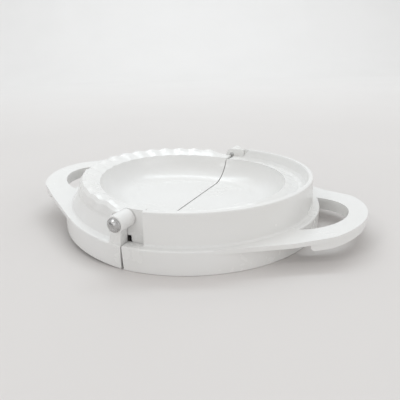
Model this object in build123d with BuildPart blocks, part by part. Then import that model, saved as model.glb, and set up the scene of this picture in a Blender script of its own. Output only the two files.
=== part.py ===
from build123d import *
from math import cos, radians, sin, sqrt, tan
import os

# Hand press for half-moon dough pockets, lying open on a table. Two half-round mouldings turn
# on one hinge line. Millimetres. X runs through the two loop handles, Y is the hinge line,
# Z is up from the table. The recessed half lies at +X. The fluted half lies at -X, and opens
# until its free end is still a few degrees above the table.

# ---- driving dimensions ----
CUTTER_R = 75.0             # outer radius of the cutting ring that stands on the table
HINGE_Z = 25.0              # height of the hinge line, which is also the closing plane
WALL = 2.0                  # general moulded wall
SPLIT_GAP = 0.5             # width of the gap between the halves
OPEN_STOP_DEG = 4.3         # how far the fluted half stays raised when fully open
END_LEAN = 0.8              # how far the recessed half's end leans over, towards the raised half

# cutting ring and the ledge above it
LEDGE_Z = 12.6
LEDGE_R = CUTTER_R + 0.4
RING_WALL = 1.8
FOOT_WIDTH = 1.5
FOOT_ROUND = 0.55
LEDGE_ROUND = 0.8

# upper wall, and the lip round the recessed half
WALL_FOOT_R = 71.4
WALL_FOOT_ROUND = 1.2
LIP_R = 70.8
LIP_TOP = 29.4
LIP_WALL = 2.9
LIP_ROUND = 0.8
LIP_EDGE = (68.9, 29.7, 0.0)    # softens the lip's inner edge: radius, height and swing
LIP_INNER_FOOT_R = 69.2     # inner face of that wall, just under the web
RECESS_UNDER_Z = 19.6       # underside of the web behind the recessed crimping face

# upper wall of the fluted half: it leans in below a narrower rim that enters the lip
ENTRY_GAP = 0.4
RIM_R = LIP_R - LIP_WALL - ENTRY_GAP
RIM_FOOT_Z = 2 * HINGE_Z - LIP_TOP - ENTRY_GAP
RIM_FOOT_ROUND = 2.0
FLUTED_UNDER_Z = 22.2

# bowl: a flat floor and one arc up to the crimping faces
FLOOR_Z = 10.2
FLOOR_R = 37.4
BOWL_ARC = 18.5
BOWL_R = 55.4
ARC_MIDDLE_RISE = 2.6       # height above the floor of a point halfway along that arc

# crimping ridge of the fluted half: radius, height, and how far its waves rise and fall
RIDGE = [
    (49.0, 22.8, 0.05),
    (BOWL_R, 24.5, 0.15),
    (59.5, 26.3, 0.35),
    (62.8, 27.3, 0.45),
    (65.0, 26.9, 0.55),
    (66.4, 25.2, 0.6),
    (67.2, 22.8, 0.6),
    (RIM_R + 0.3, 20.5, 0.3),
]
GROOVE_SHARE = 0.35         # the groove's waves, as a share of the ridge's
FLUTES = 18                 # wave periods in the half circle
WAVE_ORIGIN_DEG = 85.0
CLOSED_GAP = 0.8            # room for the dough when the halves are closed
GROOVE_GAP = 0.35           # extra radius of the groove outside the ridge's top
RIDGE_TOP_R = 62.8
FLAT_FLUTED = 24.6          # level of the fluted face beside the hinge
FLAT_RECESSED = 24.2
RAMP = (5.0, 13.0)          # degrees from the split over which the ridge grows
CURVE_STEPS = 8             # spans of the curve that draws one wave
DIRECTION_STEP = 0.01       # degrees, for the direction of that curve at its ends

# loop handles, in plan for the +X side
TIP_X = 100.5
TANGENT_DEG = 57.0          # where the handle's straight edges leave the ledge
CORNER_X = 88.8
CORNER_R = 14.0
LOOP_X = 64.5
LOOP_R = 26.6
PLATE = 2.3
SIDE_WALL_X = 79.0          # where the hanging side walls begin
SIDE_WALL_DEPTH = 5.8
SIDE_WALL = 1.8
LOOP_WALL_DEPTH = 7.0       # walls that hang round the finger opening
SIDE_WALL_SETBACK = 0.45
SIDE_WALL_ROUND = 2.2       # lower corner at the beginning of each side wall
BEND_R = 60.0
BEND_X = 72.0               # where the handle's top leaves the ledge's level
SLOPE_DEG = 6.0
PLATE_OVERLAP = 1.0         # how far the plate reaches into the ledge

# hinge
PIN_R = 1.9
PIN_CLEARANCE = 0.06
HEAD_R = 3.5
HEAD_H = 2.3
HEAD_EDGE = 0.5             # straight edge of the head, below its dome
HEAD_GAP = 0.1
BOSS_R = 4.3
BOSS_FACE_Y = 79.4
BOSS_BACK_Y = 69.3
BOSS_ROUND = 0.7
POST_FACE_Y = 74.6          # outer face of the post under the boss
POST_FOOT_X = 7.3
TONGUE_R = LIP_TOP - HINGE_Z
TONGUE_FACE_Y = 69.0
TONGUE_BACK_Y = 66.4
TONGUE_END_X = 9.3
TONGUE_LAP = 2.2            # how far the tongue reaches past the split, below the hinge line
NOTCH_X = 9.0               # end of the recessed half's upper wall beside the hinge
WINDOW_X = 1.2              # small opening into the hollow, low down beside the split
WINDOW_TOP_Z = 15.8
FLUTED_NOTCH_X = 10.8
NOTCH_CLEARANCE = 0.3
PIN_HOLE_MARGIN = 1.0       # how far the pin's bore is cut past the boss at each end

TALL = 60.0                 # longer than any height here, for cutting shapes


def smooth_step(value, low, high):
    """0 below low, 1 above high, smooth between."""
    t = min(max((value - low) / (high - low), 0.0), 1.0)
    return t * t * (3 - 2 * t)


def bowl_height(radius, arc):
    """Height of the bowl's arc (or of its underside, with a larger arc) at a radius."""
    return FLOOR_Z + BOWL_ARC - sqrt(arc**2 - (radius - FLOOR_R) ** 2)


def bowl_radius(height, arc):
    """Radius at which the bowl's arc reaches a height."""
    return FLOOR_R + sqrt(arc**2 - (FLOOR_Z + BOWL_ARC - height) ** 2)


def round_corner(sketch, radius, *points):
    """Fillet the corners of a sketch that lie nearest to the given points."""
    corners = [sketch.vertices().sort_by_distance((x, y))[0] for x, y in points]
    fillet(corners, radius=radius)


# ---- shell sections ----

def half_section_plane(side):
    """Upright plane through the hinge line; a half turn about Z sweeps it over that side."""
    return Plane((0, 0, 0), x_dir=(0, -side, 0), z_dir=(-side, 0, 0))


def shell_section(side, rim):
    """Half-plane section of one moulding; rim holds its outline from the rim to the underside."""
    under = rim["under"]
    middle = FLOOR_Z + ARC_MIDDLE_RISE
    with BuildSketch(half_section_plane(side)) as section:
        with BuildLine():
            Line((0, FLOOR_Z), (FLOOR_R, FLOOR_Z))
            ThreePointArc(
                (FLOOR_R, FLOOR_Z),
                (bowl_radius(middle, BOWL_ARC), middle),
                (BOWL_R, bowl_height(BOWL_R, BOWL_ARC)),
            )
            Polyline(
                (BOWL_R, bowl_height(BOWL_R, BOWL_ARC)),
                *rim["outside"],
                *rim["inside"],
                (bowl_radius(under, BOWL_ARC + WALL), under),
            )
            ThreePointArc(
                (bowl_radius(under, BOWL_ARC + WALL), under),
                (bowl_radius(middle, BOWL_ARC + WALL), middle),
                (FLOOR_R, FLOOR_Z - WALL),
            )
            Polyline((FLOOR_R, FLOOR_Z - WALL), (0, FLOOR_Z - WALL), (0, FLOOR_Z))
        make_face()
        for point, radius in rim["rounded"]:
            round_corner(section, radius, point)
    return section.sketch


RING_ROUNDED = [
    ((WALL_FOOT_R, LEDGE_Z), WALL_FOOT_ROUND),
    ((LEDGE_R, LEDGE_Z), LEDGE_ROUND),
    ((LEDGE_R - RING_WALL, LEDGE_Z - RING_WALL), LEDGE_ROUND),
    ((CUTTER_R, 0), FOOT_ROUND),
    ((CUTTER_R - FOOT_WIDTH, 0), FOOT_ROUND),
]

RECESSED_RIM = {
    "under": RECESS_UNDER_Z,
    "outside": [
        (BOWL_R, LIP_TOP),
        (LIP_R, LIP_TOP),
        (WALL_FOOT_R, LEDGE_Z),
        (LEDGE_R, LEDGE_Z),
        (CUTTER_R, 0),
    ],
    "inside": [
        (CUTTER_R - FOOT_WIDTH, 0),
        (LEDGE_R - RING_WALL, LEDGE_Z - RING_WALL),
        (WALL_FOOT_R - WALL, LEDGE_Z - RING_WALL),
        (LIP_INNER_FOOT_R, RECESS_UNDER_Z),
    ],
    "rounded": [((LIP_R, LIP_TOP), LIP_ROUND), *RING_ROUNDED],
}

FLUTED_RIM = {
    "under": FLUTED_UNDER_Z,
    "outside": [
        (BOWL_R, LIP_TOP + WALL),
        (RIM_R, LIP_TOP + WALL),
        (RIM_R, RIM_FOOT_Z),
        (WALL_FOOT_R, LEDGE_Z),
        (LEDGE_R, LEDGE_Z),
        (CUTTER_R, 0),
    ],
    "inside": [
        (CUTTER_R - FOOT_WIDTH, 0),
        (LEDGE_R - RING_WALL, LEDGE_Z - RING_WALL),
        (WALL_FOOT_R - WALL, LEDGE_Z - RING_WALL),
        (RIM_R - WALL, RIM_FOOT_Z),
        (RIM_R - WALL, FLUTED_UNDER_Z),
    ],
    "rounded": [((RIM_R, RIM_FOOT_Z), RIM_FOOT_ROUND), *RING_ROUNDED],
}


# ---- crimping waves ----

def crimp_bands(fluted):
    """Radius, height and swing of the circles that carry a crimping face."""
    if fluted:
        return RIDGE
    groove = []
    for radius, height, swing in RIDGE:
        wider = radius + GROOVE_GAP if radius > RIDGE_TOP_R else radius
        below = 2 * HINGE_Z - CLOSED_GAP - height
        groove.append((wider, below, -swing * GROOVE_SHARE))
    groove.append(LIP_EDGE)
    return groove


def crimp_point(side, angle, band, fluted, flat_z=None):
    """Point on one circle of a crimping face, or above it at a fixed height."""
    radius, height, swing = band
    wave = cos(radians((angle - WAVE_ORIGIN_DEG) * FLUTES * 2))
    level = FLAT_FLUTED if fluted else FLAT_RECESSED
    from_hinge = min(angle, 180 - angle)
    z = level + (height + swing * wave - level) * smooth_step(from_hinge, *RAMP)
    turn = radians(angle - 90)
    return Vector(side * radius * cos(turn), radius * sin(turn), z if flat_z is None else flat_z)


def crimp_curve(side, first, last, band, fluted, flat_z=None):
    """One wave along one circle, in line with its neighbours at both ends."""
    angles = [first + (last - first) * i / CURVE_STEPS for i in range(CURVE_STEPS + 1)]
    points = [crimp_point(side, angle, band, fluted, flat_z) for angle in angles]
    directions = []
    for angle in (first, last):
        ahead = crimp_point(side, angle + DIRECTION_STEP, band, fluted, flat_z)
        behind = crimp_point(side, angle - DIRECTION_STEP, band, fluted, flat_z)
        directions.append((ahead - behind).normalized())
    return Edge.make_spline(points, tangents=directions)


def space_above_crimp(side, fluted):
    """Everything above a crimping face, as one solid with a patch for each wave and band."""
    pitch = 180 / FLUTES
    bands = crimp_bands(fluted)
    faces = []
    top_edges = []
    for i in range(FLUTES + 1):
        first = pitch * (i - 0.5)
        last = first + pitch
        curves = [crimp_curve(side, first, last, band, fluted) for band in bands]
        for lower, upper in zip(curves, curves[1:]):
            faces.append(Face.make_surface_from_curves(lower, upper))
        for curve, band in ((curves[0], bands[0]), (curves[-1], bands[-1])):
            raised = crimp_curve(side, first, last, band, fluted, TALL)
            faces.append(Face.make_surface_from_curves(curve, raised))
            top_edges.append(raised)
    for angle in (-pitch / 2, 180 + pitch / 2):
        end = [crimp_point(side, angle, band, fluted) for band in bands]
        end.append(crimp_point(side, angle, bands[-1], fluted, TALL))
        end.append(crimp_point(side, angle, bands[0], fluted, TALL))
        faces.append(Face(Wire.make_polygon(end, close=True)))
        top_edges.append(Edge.make_line(end[-2], end[-1]))
    faces.append(Face(Wire(top_edges)))
    return Solid(Shell(faces))


# ---- the gap between the halves ----

with BuildPart() as split_space:
    with BuildSketch(Plane.XZ):
        with Locations((0, TALL / 2)):
            Rectangle(SPLIT_GAP, 2 * TALL)
    extrude(amount=2 * CUTTER_R, both=True)

with BuildPart() as beyond_recessed_end:
    with BuildSketch(Plane.XZ):
        Polygon(
            (SPLIT_GAP / 2 - END_LEAN, -1),
            (SPLIT_GAP / 2 - END_LEAN, LEDGE_Z),
            (SPLIT_GAP / 2, HINGE_Z),
            (SPLIT_GAP / 2, TALL),
            (-TALL, TALL),
            (-TALL, -1),
            align=None,
        )
    extrude(amount=2 * CUTTER_R, both=True)


# ---- loop handles ----

def handle_outline(inset):
    """Outer edge in plan: straight from the ledge, round at the corners, one arc at the tip."""
    start_x = LEDGE_R * cos(radians(TANGENT_DEG))
    start_y = LEDGE_R * sin(radians(TANGENT_DEG))
    corner_y = start_y - (CORNER_X - start_x) / tan(radians(TANGENT_DEG))
    with BuildSketch() as outline:
        with BuildLine():
            ThreePointArc((CORNER_X, corner_y), (TIP_X, 0), (CORNER_X, -corner_y))
            Polyline(
                (CORNER_X, -corner_y),
                (start_x, -start_y),
                (start_x, start_y),
                (CORNER_X, corner_y),
            )
        make_face()
        round_corner(outline, CORNER_R, (CORNER_X, corner_y), (CORNER_X, -corner_y))
        if inset > 0:
            offset(amount=-inset, mode=Mode.REPLACE)
    return outline.sketch


def layer_section(depth):
    """Section of a layer under the handle's top: level beside the ledge, then sloping up."""
    far_x = 2 * TIP_X - LEDGE_R
    far_z = LEDGE_Z + (far_x - BEND_X) * tan(radians(SLOPE_DEG))
    with BuildSketch(Plane.XZ) as section:
        with BuildLine():
            FilletPolyline((0, LEDGE_Z), (BEND_X, LEDGE_Z), (far_x, far_z), radius=BEND_R)
            Line((far_x, far_z), (far_x, far_z - depth))
            FilletPolyline(
                (far_x, far_z - depth),
                (BEND_X, LEDGE_Z - depth),
                (0, LEDGE_Z - depth),
                radius=BEND_R + depth,
            )
            Line((0, LEDGE_Z - depth), (0, LEDGE_Z))
        make_face()
    return section.sketch


def side_wall_section():
    """Section of the hanging walls, with a round lower corner where they begin."""
    lower_z = LEDGE_Z - SIDE_WALL_DEPTH + (SIDE_WALL_X - BEND_X) * tan(radians(SLOPE_DEG))
    with BuildSketch(Plane.XZ) as section:
        add(layer_section(SIDE_WALL_DEPTH).rotate(Axis.X, -90))
        with Locations((SIDE_WALL_X + TALL, 0)):
            Rectangle(2 * TALL, 4 * TALL, mode=Mode.INTERSECT)
        round_corner(section, SIDE_WALL_ROUND, (SIDE_WALL_X, lower_z))
    return section.sketch


with BuildPart() as loop_plate:
    # thin plate with a D-shaped finger opening
    with BuildSketch():
        add(handle_outline(0))
        with Locations((LOOP_X, 0)):
            Circle(LOOP_R, mode=Mode.SUBTRACT)
        Circle(LEDGE_R - PLATE_OVERLAP, mode=Mode.SUBTRACT)
    extrude(amount=TALL)
    extrude(layer_section(PLATE), amount=CUTTER_R, both=True, mode=Mode.INTERSECT)

with BuildPart() as side_walls:
    # thin walls that hang from the plate's outer edge
    with BuildSketch():
        add(handle_outline(SIDE_WALL_SETBACK))
        add(handle_outline(SIDE_WALL_SETBACK + SIDE_WALL), mode=Mode.SUBTRACT)
        with Locations((SIDE_WALL_X + TALL, 0)):
            Rectangle(2 * TALL, 4 * TALL, mode=Mode.INTERSECT)
    extrude(amount=TALL)
    extrude(side_wall_section(), amount=CUTTER_R, both=True, mode=Mode.INTERSECT)

with BuildPart() as loop_wall:
    # thin wall that hangs from the finger opening's edge
    with BuildSketch():
        with Locations((LOOP_X, 0)):
            Circle(LOOP_R + SIDE_WALL_SETBACK + SIDE_WALL)
            Circle(LOOP_R + SIDE_WALL_SETBACK, mode=Mode.SUBTRACT)
        Circle(CUTTER_R - PLATE_OVERLAP, mode=Mode.SUBTRACT)
        with Locations((LOOP_X + TALL, 0)):
            Rectangle(2 * TALL, 4 * TALL, mode=Mode.INTERSECT)
    extrude(amount=TALL)
    extrude(layer_section(LOOP_WALL_DEPTH), amount=CUTTER_R, both=True, mode=Mode.INTERSECT)


# ---- outlines for the hinge ends, front (-Y) and rear (+Y) ----

HINGE_AXIS = Axis((0, 0, HINGE_Z), (0, 1, 0))


def hinge_plane(end, y):
    """Upright plane across the hinge line, facing outwards at that end."""
    return Plane((0, end * y, 0), x_dir=(-end, 0, 0), z_dir=(0, end, 0))


def hinge_polygon(end, y, points):
    """Outline of (x, z) points on the upright plane at that distance along the hinge line."""
    with BuildSketch(hinge_plane(end, y)) as outline:
        Polygon(*[(-end * px, pz) for px, pz in points], align=None)
    return outline.sketch


def hinge_circle(end, y, radius):
    """Circle about the hinge line on the upright plane at that distance along it."""
    with BuildSketch(hinge_plane(end, y)) as outline:
        with Locations((0, HINGE_Z)):
            Circle(radius)
    return outline.sketch


TONGUE = [
    (0, HINGE_Z + TONGUE_R),
    (TONGUE_END_X, HINGE_Z + TONGUE_R),
    (TONGUE_END_X, LEDGE_Z - RING_WALL / 2),
    (WINDOW_X, LEDGE_Z - RING_WALL / 2),
    (WINDOW_X, WINDOW_TOP_Z),
    (-TONGUE_LAP, WINDOW_TOP_Z),
    (-TONGUE_LAP, HINGE_Z),
]
WALL_NOTCH = [(-END_LEAN, LEDGE_Z), (NOTCH_X, LEDGE_Z), (NOTCH_X, TALL), (-END_LEAN, TALL)]
LOW_WINDOW = [
    (-END_LEAN, LEDGE_Z),
    (WINDOW_X, LEDGE_Z),
    (WINDOW_X, WINDOW_TOP_Z),
    (-END_LEAN, WINDOW_TOP_Z),
]
TONGUE_ROOM = [
    (-FLUTED_NOTCH_X, LEDGE_Z),
    (0, LEDGE_Z),
    (0, TALL),
    (-FLUTED_NOTCH_X, TALL),
]
BOSS_POST = [
    (-BOSS_R, HINGE_Z),
    (0, HINGE_Z),
    (-SPLIT_GAP, LEDGE_Z - RING_WALL / 2),
    (-POST_FOOT_X, LEDGE_Z - RING_WALL / 2),
]


# ---- recessed half, at +X ----

recessed_space = space_above_crimp(1, False)

with BuildPart() as recessed_half:
    revolve(shell_section(1, RECESSED_RIM), axis=Axis.Z, revolution_arc=180)
    extrude(shell_section(1, RECESSED_RIM), amount=END_LEAN)
    extrude(shell_section(1, RECESSED_RIM).mirror(Plane.XZ), amount=END_LEAN)
    add(recessed_space, mode=Mode.SUBTRACT)
    add(loop_plate.part)
    add(side_walls.part)
    add(loop_wall.part)
    for y_end in (-1, 1):
        # the upper wall stops short of the hinge, and low down it opens to the hollow inside
        notch = hinge_polygon(y_end, TONGUE_FACE_Y, WALL_NOTCH)
        extrude(notch, amount=LEDGE_R - TONGUE_FACE_Y, mode=Mode.SUBTRACT)
        window = hinge_polygon(y_end, BOWL_R + WALL, LOW_WINDOW)
        extrude(window, amount=LEDGE_R - BOWL_R - WALL, mode=Mode.SUBTRACT)
    add(beyond_recessed_end.part, mode=Mode.SUBTRACT)
    for y_end in (-1, 1):
        tongue_depth = TONGUE_FACE_Y - TONGUE_BACK_Y
        extrude(hinge_polygon(y_end, TONGUE_BACK_Y, TONGUE), amount=tongue_depth)
        extrude(hinge_circle(y_end, TONGUE_BACK_Y, TONGUE_R), amount=tongue_depth)
        pin_hole = hinge_circle(y_end, BOWL_R, PIN_R)
        extrude(pin_hole, amount=BOSS_FACE_Y - BOWL_R, mode=Mode.SUBTRACT)

recessed_half.part.label = "recessed_half"

# ---- fluted half, at -X ----

fluted_space = space_above_crimp(-1, True)

with BuildPart() as level_fluted_half:
    revolve(shell_section(-1, FLUTED_RIM), axis=Axis.Z, revolution_arc=180)
    add(fluted_space, mode=Mode.SUBTRACT)
    add(loop_plate.part.mirror(Plane.YZ))
    add(side_walls.part.mirror(Plane.YZ))
    add(loop_wall.part.mirror(Plane.YZ))
    for y_end in (-1, 1):
        # room for the other half's tongue
        room_y = TONGUE_BACK_Y - NOTCH_CLEARANCE
        room = hinge_polygon(y_end, room_y, TONGUE_ROOM)
        extrude(room, amount=BOSS_BACK_Y - room_y, mode=Mode.SUBTRACT)
    add(split_space.part, mode=Mode.SUBTRACT)
    for y_end in (-1, 1):
        boss_depth = BOSS_FACE_Y - BOSS_BACK_Y
        extrude(hinge_circle(y_end, BOSS_BACK_Y, BOSS_R), amount=boss_depth)
        post = hinge_polygon(y_end, BOSS_BACK_Y, BOSS_POST)
        extrude(post, amount=POST_FACE_Y - BOSS_BACK_Y)
    boss_faces = level_fluted_half.faces().filter_by(Axis.Y).sort_by(Axis.Y)
    fillet(boss_faces[0].edges() + boss_faces[-1].edges(), radius=BOSS_ROUND)
    for y_end in (-1, 1):
        pin_hole = hinge_circle(y_end, BOSS_BACK_Y - PIN_HOLE_MARGIN, PIN_R + PIN_CLEARANCE)
        hole_depth = BOSS_FACE_Y - BOSS_BACK_Y + 2 * PIN_HOLE_MARGIN
        extrude(pin_hole, amount=hole_depth, mode=Mode.SUBTRACT)

# moved from the closing plane's level to the open stop
with BuildPart() as fluted_half:
    add(level_fluted_half.part.rotate(HINGE_AXIS, OPEN_STOP_DEG))

fluted_half.part.label = "fluted_half"


# ---- hinge pins: each turns in the boss and is driven into the tongue ----

def pin_section(end):
    """Half section of a domed pin, in distances along the hinge line and radii from it."""
    under_head = BOSS_FACE_Y + HEAD_GAP
    tip = under_head + HEAD_H
    edge = under_head + HEAD_EDGE
    with BuildSketch(Plane((0, 0, HINGE_Z), x_dir=(0, end, 0), z_dir=(end, 0, 0))) as section:
        with BuildLine():
            Polyline(
                (tip, 0),
                (TONGUE_BACK_Y, 0),
                (TONGUE_BACK_Y, PIN_R),
                (under_head, PIN_R),
                (under_head, HEAD_R),
                (edge, HEAD_R),
            )
            TangentArc((tip, 0), (edge, HEAD_R), tangent=(0, 1))
        make_face()
    return section.sketch


with BuildPart() as front_hinge_pin:
    revolve(pin_section(-1), axis=HINGE_AXIS)

front_hinge_pin.part.label = "front_hinge_pin"

with BuildPart() as rear_hinge_pin:
    revolve(pin_section(1), axis=HINGE_AXIS)

rear_hinge_pin.part.label = "rear_hinge_pin"

# ---- export ----

os.makedirs("parts", exist_ok=True)
export_step(recessed_half.part, "parts/recessed_half.step")
export_step(fluted_half.part, "parts/fluted_half.step")
export_step(front_hinge_pin.part, "parts/front_hinge_pin.step")
export_step(rear_hinge_pin.part, "parts/rear_hinge_pin.step")
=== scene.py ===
import math

import bpy
from mathutils import Matrix, Vector


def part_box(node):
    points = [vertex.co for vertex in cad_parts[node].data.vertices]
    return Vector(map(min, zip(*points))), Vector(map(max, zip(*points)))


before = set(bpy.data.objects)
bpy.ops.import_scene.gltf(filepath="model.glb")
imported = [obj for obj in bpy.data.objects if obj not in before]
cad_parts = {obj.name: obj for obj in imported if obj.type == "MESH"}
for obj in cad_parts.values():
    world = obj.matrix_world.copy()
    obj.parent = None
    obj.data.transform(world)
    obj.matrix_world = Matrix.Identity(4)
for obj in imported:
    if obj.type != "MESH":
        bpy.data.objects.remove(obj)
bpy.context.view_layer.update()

# The hinge line runs along Y at this height. Each hinge pin lies on it.
HINGE_Z = (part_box("front_hinge_pin")[0].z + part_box("front_hinge_pin")[1].z) / 2


# ---- camera ----

# The place and the angles come from fitting a camera to the photograph's outlines with the
# lens held at 36 mm. Fits at 32 and 34 mm came slightly closer, so the lens is a choice.
CUTTER_RADIUS = 0.075
CAMERA_PLACE = Vector((1.408, -2.807, 1.2465)) * CUTTER_RADIUS
LENS_MM = 36.0
SENSOR_MM = 36.0
CAMERA_YAW = math.radians(25.68)
CAMERA_PITCH = math.radians(19.42)
CAMERA_ROLL = math.radians(-1.5)


def add_camera():
    """Camera on a square sensor, low and close to the near end of the hinge."""
    data = bpy.data.cameras.new("camera")
    data.lens = LENS_MM
    data.sensor_width = SENSOR_MM
    data.clip_start = 0.01
    data.clip_end = 20.0
    camera = bpy.data.objects.new("camera", data)
    turn = (
        Matrix.Rotation(CAMERA_YAW, 4, "Z")
        @ Matrix.Rotation(math.pi / 2 - CAMERA_PITCH, 4, "X")
        @ Matrix.Rotation(CAMERA_ROLL, 4, "Z")
    )
    camera.matrix_world = Matrix.Translation(CAMERA_PLACE) @ turn
    bpy.context.scene.collection.objects.link(camera)
    bpy.context.scene.camera = camera


# ---- shader helpers ----

def new_material(name):
    """Empty node material with a Principled shader on its output."""
    material = bpy.data.materials.new(name)
    material.use_nodes = True
    tree = material.node_tree
    tree.nodes.clear()
    output = tree.nodes.new("ShaderNodeOutputMaterial")
    shader = tree.nodes.new("ShaderNodeBsdfPrincipled")
    tree.links.new(shader.outputs["BSDF"], output.inputs["Surface"])
    return material, tree, shader


def object_place(tree, scale, turn=(0.0, 0.0, 0.0)):
    """Object coordinates, turned and stretched."""
    coordinates = tree.nodes.new("ShaderNodeTexCoord")
    mapping = tree.nodes.new("ShaderNodeMapping")
    mapping.inputs["Scale"].default_value = scale
    mapping.inputs["Rotation"].default_value = turn
    tree.links.new(coordinates.outputs["Object"], mapping.inputs["Vector"])
    return mapping.outputs["Vector"]


def noise(tree, vector, scale, detail=2.0, roughness=0.5, distortion=0.0):
    """Noise texture's value."""
    node = tree.nodes.new("ShaderNodeTexNoise")
    node.inputs["Scale"].default_value = scale
    node.inputs["Detail"].default_value = detail
    node.inputs["Roughness"].default_value = roughness
    node.inputs["Distortion"].default_value = distortion
    tree.links.new(vector, node.inputs["Vector"])
    return node.outputs["Fac"]


def remap(tree, value, low, high, out_low=0.0, out_high=1.0):
    """Linear change of range, clamped."""
    node = tree.nodes.new("ShaderNodeMapRange")
    node.clamp = True
    node.inputs["From Min"].default_value = low
    node.inputs["From Max"].default_value = high
    node.inputs["To Min"].default_value = out_low
    node.inputs["To Max"].default_value = out_high
    tree.links.new(value, node.inputs["Value"])
    return node.outputs["Result"]


def math_node(tree, operation, first, second):
    """One arithmetic step; each operand is a socket or a number."""
    node = tree.nodes.new("ShaderNodeMath")
    node.operation = operation
    for socket, operand in zip(node.inputs, (first, second)):
        if isinstance(operand, (int, float)):
            socket.default_value = operand
        else:
            tree.links.new(operand, socket)
    return node.outputs["Value"]


def mix_colour(tree, factor, first, second):
    """Mix of two colours; the factor is a socket, the colours are values or sockets."""
    node = tree.nodes.new("ShaderNodeMix")
    node.data_type = "RGBA"
    tree.links.new(factor, node.inputs["Factor"])
    for name, colour in (("A", first), ("B", second)):
        socket = [s for s in node.inputs if s.name == name and s.type == "RGBA"][0]
        if isinstance(colour, tuple):
            socket.default_value = (*colour, 1.0)
        else:
            tree.links.new(colour, socket)
    return [s for s in node.outputs if s.type == "RGBA"][0]


def bump(tree, height, distance, strength, normal=None):
    """Bump node that adds a height to the normal."""
    node = tree.nodes.new("ShaderNodeBump")
    node.inputs["Strength"].default_value = strength
    node.inputs["Distance"].default_value = distance
    tree.links.new(height, node.inputs["Height"])
    if normal is not None:
        tree.links.new(normal, node.inputs["Normal"])
    return node.outputs["Normal"]


def scratches(tree, turn, along, across, share):
    """Sparse hairlines that run roughly one way: 1 on a scratch and 0 elsewhere."""
    field = noise(tree, object_place(tree, (along, across, across), turn), 1.0, 1.0, 0.4)
    off_line = math_node(tree, "ABSOLUTE", math_node(tree, "SUBTRACT", field, 0.5), 0.0)
    line = remap(tree, off_line, 0.0, 0.012, 1.0, 0.0)
    patch = noise(tree, object_place(tree, (1.0, 1.0, 1.0)), 60.0, 2.0, 0.6)
    here = remap(tree, patch, 1.0 - share, 1.0 - share + 0.08)
    return math_node(tree, "MULTIPLY", line, here)


# ---- materials ----

def white_plastic():
    """Glossy moulded white plastic with faint flow marks, hairline scratches and dull wear."""
    material, tree, shader = new_material("white_plastic")
    plain = object_place(tree, (1.0, 1.0, 1.0))

    clean, warm = (0.800, 0.800, 0.792), (0.780, 0.777, 0.762)
    dust, handling = (0.66, 0.65, 0.62), (0.70, 0.685, 0.65)
    cloud = remap(tree, noise(tree, plain, 22.0, 3.0, 0.55), 0.35, 0.7)
    speck = remap(tree, noise(tree, plain, 900.0, 2.0, 0.6), 0.70, 0.78)
    grime = remap(tree, noise(tree, plain, 70.0, 4.0, 0.6), 0.62, 0.8)
    tinted = mix_colour(tree, cloud, clean, warm)
    dusty = mix_colour(tree, math_node(tree, "MULTIPLY", speck, 0.25), tinted, dust)
    colour = mix_colour(tree, math_node(tree, "MULTIPLY", grime, 0.10), dusty, handling)
    tree.links.new(colour, shader.inputs["Base Color"])

    long_marks = scratches(tree, (0.3, 0.2, 0.7), 14.0, 420.0, 0.44)
    cross_marks = scratches(tree, (0.1, 0.4, -0.5), 20.0, 600.0, 0.40)
    marks = math_node(tree, "MAXIMUM", long_marks, cross_marks)

    handled = remap(tree, noise(tree, plain, 45.0, 4.0, 0.65), 0.4, 0.7, 0.20, 0.29)
    roughness = math_node(tree, "ADD", handled, math_node(tree, "MULTIPLY", marks, 0.10))
    tree.links.new(roughness, shader.inputs["Roughness"])

    skin = noise(tree, plain, 260.0, 2.0, 0.5)
    flow = noise(tree, object_place(tree, (1.0, 1.0, 3.0)), 38.0, 2.0, 0.5, 0.6)
    normal = bump(tree, flow, 0.0006, 0.10)
    normal = bump(tree, skin, 0.00004, 0.22, normal)
    normal = bump(tree, math_node(tree, "MULTIPLY", marks, -1.0), 0.000006, 0.2, normal)
    tree.links.new(normal, shader.inputs["Normal"])
    shader.inputs["IOR"].default_value = 1.49
    return material


def pin_steel():
    """Bright steel with fine turning rings about the hinge line and a few dull spots."""
    material, tree, shader = new_material("pin_steel")
    plain = object_place(tree, (1.0, 1.0, 1.0))
    split = tree.nodes.new("ShaderNodeSeparateXYZ")
    tree.links.new(plain, split.inputs["Vector"])
    height = math_node(tree, "SUBTRACT", split.outputs["Z"], HINGE_Z)
    square = math_node(
        tree,
        "ADD",
        math_node(tree, "MULTIPLY", height, height),
        math_node(tree, "MULTIPLY", split.outputs["X"], split.outputs["X"]),
    )
    radius = math_node(tree, "POWER", square, 0.5)
    wobble = math_node(tree, "MULTIPLY", noise(tree, plain, 500.0), 0.0003)
    radians_per_metre = 24000.0
    phase = math_node(
        tree, "MULTIPLY", math_node(tree, "ADD", radius, wobble), radians_per_metre
    )
    rings = math_node(tree, "SINE", phase, 0.0)
    patches = remap(tree, noise(tree, plain, 700.0, 3.0, 0.6), 0.45, 0.7)
    bright, dull = (0.56, 0.56, 0.56), (0.40, 0.395, 0.385)
    colour = mix_colour(tree, patches, bright, dull)
    tree.links.new(colour, shader.inputs["Base Color"])
    tree.links.new(
        remap(tree, noise(tree, plain, 900.0, 3.0, 0.6), 0.3, 0.75, 0.14, 0.36),
        shader.inputs["Roughness"],
    )
    tree.links.new(bump(tree, rings, 0.000006, 0.4), shader.inputs["Normal"])
    shader.inputs["Metallic"].default_value = 1.0
    return material


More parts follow.
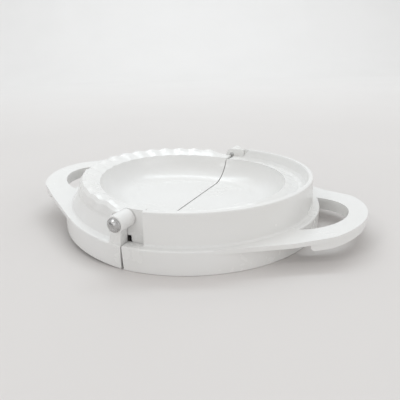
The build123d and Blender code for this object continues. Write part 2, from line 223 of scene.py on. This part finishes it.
def paper_floor():
    """Matt off-white backdrop paper."""
    material, tree, shader = new_material("backdrop_paper")
    plain = object_place(tree, (1.0, 1.0, 1.0))
    cloud = remap(tree, noise(tree, plain, 5.0, 3.0, 0.5), 0.3, 0.7)
    darker, lighter = (0.668, 0.645, 0.632), (0.680, 0.657, 0.644)
    colour = mix_colour(tree, cloud, darker, lighter)
    tree.links.new(colour, shader.inputs["Base Color"])
    shader.inputs["Roughness"].default_value = 0.9
    shader.inputs["Specular IOR Level"].default_value = 0.1
    tree.links.new(bump(tree, noise(tree, plain, 900.0), 0.00004, 0.3), shader.inputs["Normal"])
    return material


def assign(obj, material):
    """One material on every face of a piece."""
    if obj.material_slots:
        for material_slot in obj.material_slots:
            material_slot.material = material
    else:
        obj.data.materials.append(material)


# ---- floor and backdrop ----

def sweep_backdrop(material):
    """Flat paper that curves up into an upright backdrop behind the object."""
    half_width = 3.0
    front = -2.0
    bend_start = 1.6
    bend_radius = 0.9
    bend_steps = 24
    top = 3.0
    profile = [(front, 0.0), (bend_start, 0.0)]
    for i in range(1, bend_steps + 1):
        angle = math.pi / 2 * i / bend_steps
        profile.append(
            (bend_start + bend_radius * math.sin(angle), bend_radius * (1 - math.cos(angle)))
        )
    profile.append((bend_start + bend_radius, top))
    vertices = [(x, y, z) for y, z in profile for x in (-half_width, half_width)]
    faces = [(2 * i, 2 * i + 1, 2 * i + 3, 2 * i + 2) for i in range(len(profile) - 1)]
    mesh = bpy.data.meshes.new("backdrop")
    mesh.from_pydata(vertices, [], faces)
    mesh.shade_smooth()
    backdrop = bpy.data.objects.new("backdrop", mesh)
    backdrop.rotation_euler = (0.0, 0.0, CAMERA_YAW)
    bpy.context.scene.collection.objects.link(backdrop)
    assign(backdrop, material)


# ---- light ----

def add_softbox(name, place, target, size, power, colour):
    """Rectangular area light that faces a target point."""
    data = bpy.data.lights.new(name, "AREA")
    data.shape = "RECTANGLE"
    data.size, data.size_y = size
    data.energy = power
    data.color = colour
    light = bpy.data.objects.new(name, data)
    light.location = place
    direction = Vector(target) - Vector(place)
    light.rotation_euler = direction.to_track_quat("-Z", "Y").to_euler()
    bpy.context.scene.collection.objects.link(light)


def dark_card():
    """Dark card low on the near left, seen only as a reflection in the steel."""
    distance = 0.8
    half_width = 0.42
    half_height = 0.09
    middle_height = 0.13
    material, tree, shader = new_material("dark_card")
    plain = object_place(tree, (1.0, 1.0, 1.0))
    cloud = noise(tree, plain, 3.0)
    colour = mix_colour(tree, cloud, (0.03, 0.03, 0.03), (0.05, 0.05, 0.05))
    tree.links.new(colour, shader.inputs["Base Color"])
    shader.inputs["Roughness"].default_value = 0.9
    away = Vector((-0.6, -0.8, 0.0))
    across = Vector((-away.y, away.x, 0.0))
    middle = away * distance + Vector((0.0, 0.0, middle_height))
    half = across * half_width
    rise = Vector((0.0, 0.0, half_height))
    low, high = middle - rise, middle + rise
    corners = [low - half, low + half, high + half, high - half]
    mesh = bpy.data.meshes.new("dark_card")
    mesh.from_pydata([tuple(corner) for corner in corners], [], [(0, 1, 2, 3)])
    card = bpy.data.objects.new("dark_card", mesh)
    card.visible_camera = False
    bpy.context.scene.collection.objects.link(card)
    assign(card, material)


OBJECT_CENTRE = (0.0, 0.0, 0.02)
NEUTRAL = (1.0, 1.0, 1.0)
DAYLIGHT = (0.97, 0.99, 1.0)
SKY_BLUE = (0.85, 0.95, 1.0)

# name, place, point it faces, size, power in watts, colour
SOFTBOXES = [
    ("overhead", (0.1, 0.45, 1.5), OBJECT_CENTRE, (1.4, 1.0), 2.0, NEUTRAL),
    ("window", (-0.35, -0.75, 0.75), OBJECT_CENTRE, (0.22, 0.12), 1.0, DAYLIGHT),
    ("rear_window", (-0.48, 0.70, 1.03), OBJECT_CENTRE, (0.24, 0.12), 0.5, NEUTRAL),
    ("front_fill", (-0.3, -1.6, 0.5), OBJECT_CENTRE, (1.6, 0.8), 2.8, NEUTRAL),
    ("side_fill", (1.5, -0.2, 0.6), OBJECT_CENTRE, (1.2, 0.8), 2.4, NEUTRAL),
    ("backdrop", (-0.6, 1.1, 2.4), (-1.2, 2.6, 0.3), (3.0, 1.0), 43.0, SKY_BLUE),
]


def add_lights():
    """Very soft light from all round, two small windows for highlights, and a lit backdrop."""
    world = bpy.data.worlds.new("room")
    world.use_nodes = True
    background = world.node_tree.nodes["Background"]
    background.inputs["Color"].default_value = (1.0, 0.995, 0.99, 1.0)
    background.inputs["Strength"].default_value = 0.73
    bpy.context.scene.world = world
    for softbox in SOFTBOXES:
        add_softbox(*softbox)


# ---- assembly ----

add_camera()
plastic = white_plastic()
steel = pin_steel()
for node_name in ("recessed_half", "fluted_half"):
    assign(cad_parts[node_name], plastic)
for node_name in ("front_hinge_pin", "rear_hinge_pin"):
    assign(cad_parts[node_name], steel)
sweep_backdrop(paper_floor())
dark_card()
add_lights()
bpy.context.scene.view_settings.view_transform = "Standard"
